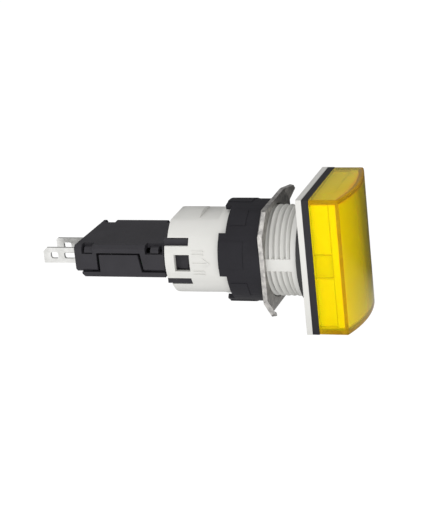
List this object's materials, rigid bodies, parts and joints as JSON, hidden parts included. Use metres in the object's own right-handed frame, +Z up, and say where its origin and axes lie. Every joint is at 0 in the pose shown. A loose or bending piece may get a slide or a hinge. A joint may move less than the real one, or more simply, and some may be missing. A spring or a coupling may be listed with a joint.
{
  "type": "panel pilot light",
  "caption": "Panel pilot light with a rectangular curved yellow lens, threaded barrel, fixing nut, claw plate, rear collar and plug-in lamp block with blade tags.",
  "frame": {"origin": "on the device axis, in the plane where the flange seal meets the panel's front face", "axes": "+Y along the device axis from the lens to the terminal tags, +Z up along the head's long side, +X along its short side"},
  "size_m": [0.018, 0.0577, 0.024],
  "materials": {
    "grey_plastic": "fine satin moulding",
    "black_plastic": "fine spark-eroded texture",
    "black_rubber": "matt",
    "yellow_lens": "polished translucent plastic",
    "clear_plate": "clear plastic",
    "diffuser_plastic": "milky translucent plastic",
    "spring_steel": "nickel-plated sheet with sheared edges",
    "tinned_brass": "bright tin",
    "solder": "bright solder",
    "board_laminate": "solder-masked laminate",
    "lamp_epoxy": "clear epoxy",
    "resistor_body": "glazed",
    "rectifier_body": "moulded epoxy",
    "capacitor_body": "fired ceramic"
  },
  "bodies": {
    "head": {"flange_barrel": "grey_plastic", "flange_seal": "black_rubber", "bezel_frame": "black_plastic", "bezel_gasket": "black_rubber", "diffuser": "diffuser_plastic"},
    "lens_unit": {"lens": "yellow_lens", "legend_plate": "clear_plate"},
    "plate": {"anti_rotation_plate": "spring_steel"},
    "nut": {"fixing_nut": "black_plastic"},
    "collar": {"body_collar": "grey_plastic"},
    "lamp_block": {"led_block_cover": "black_plastic", "led_block_base": "black_plastic", "circuit_board": "board_laminate", "led_lamp": "lamp_epoxy", "led_leads": "tinned_brass", "dropping_resistor": "resistor_body", "bridge_rectifier": "rectifier_body", "smoothing_capacitor": "capacitor_body", "blade_tag_left": "tinned_brass", "blade_tag_right": "tinned_brass", "solder_joints": "solder"}
  },
  "joints": [
    {"name": "lens_pull", "type": "slide", "parent": "head", "child": "lens_unit", "axis": [0, -1, 0], "range_m": [0, 0.01]},
    {"name": "plate_slide", "type": "slide", "parent": "head", "child": "plate", "axis": [0, -1, 0], "range_m": [-0.0051, 0.0035]},
    {"name": "nut_turn", "type": "hinge", "parent": "plate", "child": "nut", "pos_m": [0, 0.0094, 0], "axis": [0, -1, 0], "range_deg": [-1800, 1224]},
    {"name": "body_pull", "type": "slide", "parent": "head", "child": "collar", "axis": [0, 1, 0], "range_m": [0, 0.015]},
    {"name": "block_pull", "type": "slide", "parent": "collar", "child": "lamp_block", "axis": [0, 1, 0], "range_m": [0, 0.026]}
  ],
  "couplings": [
    {"joint": "plate_slide", "follows": "nut_turn", "m_per_rad": 0.00015915}
  ]
}
